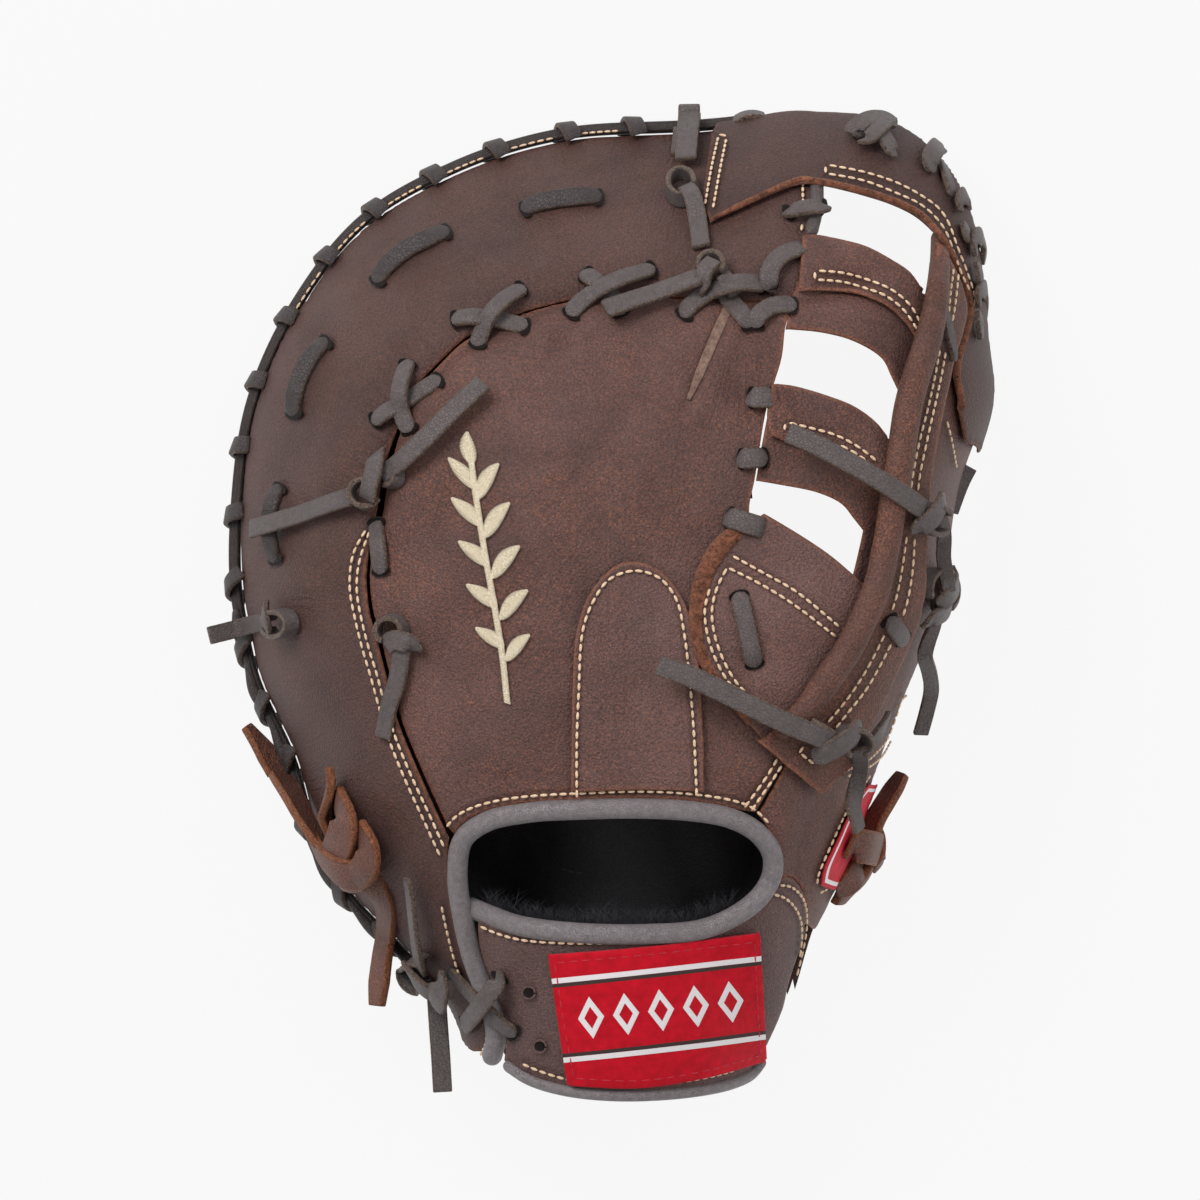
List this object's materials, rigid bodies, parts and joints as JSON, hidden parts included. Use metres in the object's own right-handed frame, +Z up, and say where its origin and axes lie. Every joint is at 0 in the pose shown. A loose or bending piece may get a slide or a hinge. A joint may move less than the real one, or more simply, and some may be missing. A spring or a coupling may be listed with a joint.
{
  "type": "first baseman mitt",
  "caption": "Brown leather first baseman mitt for the left hand, lying palm down, with laced web, rolled rim, wrist strap and knotted thongs.",
  "frame": {"origin": "on the floor under the middle of the mitt's bounding box", "axes": "+X towards the thumb side, +Y towards the finger tips, +Z up out of the back of the hand; the palm lies on z = 0"},
  "size_m": [0.2524, 0.3168, 0.1158],
  "materials": {
    "oiled_leather": "oiled pull-up leather with fine pebble grain",
    "raw_suede": "brown leather with fuzzy raw orange-brown edges",
    "grey_lace": "grey rawhide lace and rolled binding, smooth",
    "black_lining": "black lining and fleece",
    "red_cloth": "red woven cloth with white figures"
  },
  "bodies": {
    "root": {"finger_pad": "oiled_leather", "hand_back": "oiled_leather", "knot_back": "grey_lace", "knot_finger_seam": "grey_lace", "knot_heel": "grey_lace", "knot_little_finger": "grey_lace", "knot_palm_seam": "grey_lace", "knot_post_lower": "grey_lace", "knot_post_upper": "grey_lace", "knot_thumb": "grey_lace", "knot_top": "grey_lace", "lace_cross_a_over": "grey_lace", "lace_cross_a_under": "grey_lace", "lace_cross_b_over": "grey_lace", "lace_cross_b_under": "grey_lace", "lace_cross_c_over": "grey_lace", "lace_cross_c_under": "grey_lace", "lace_cross_d_over": "grey_lace", "lace_cross_d_under": "grey_lace", "lace_finger_a": "grey_lace", "lace_finger_b": "grey_lace", "lace_finger_c": "grey_lace", "lace_finger_d": "grey_lace", "lace_lower_bar_a": "grey_lace", "lace_lower_bar_b": "grey_lace", "lace_post": "grey_lace", "lace_seam": "grey_lace", "lace_strap_over": "grey_lace", "lace_strap_under": "grey_lace", "lace_thumb_back": "grey_lace", "lace_thumb_slot": "grey_lace", "lace_upper_bar": "grey_lace", "lace_web_roll": "grey_lace", "outer_back": "oiled_leather", "palm_lining": "black_lining", "palm_shell": "oiled_leather", "rim_lacing": "grey_lace", "strap_fleece": "black_lining", "strap_label": "red_cloth", "strap_roll": "grey_lace", "thumb_back": "raw_suede", "thumb_patch": "red_cloth", "thumb_shell": "oiled_leather", "tie_little_finger": "raw_suede", "tie_thumb": "raw_suede", "web_lower_bar": "oiled_leather", "web_lower_facing": "oiled_leather", "web_post": "raw_suede", "web_roll": "grey_lace", "web_top_strap": "oiled_leather", "web_upper_bar": "oiled_leather", "web_upper_facing": "oiled_leather", "wrist_roll": "grey_lace", "wrist_strap": "oiled_leather"}
  },
  "joints": []
}
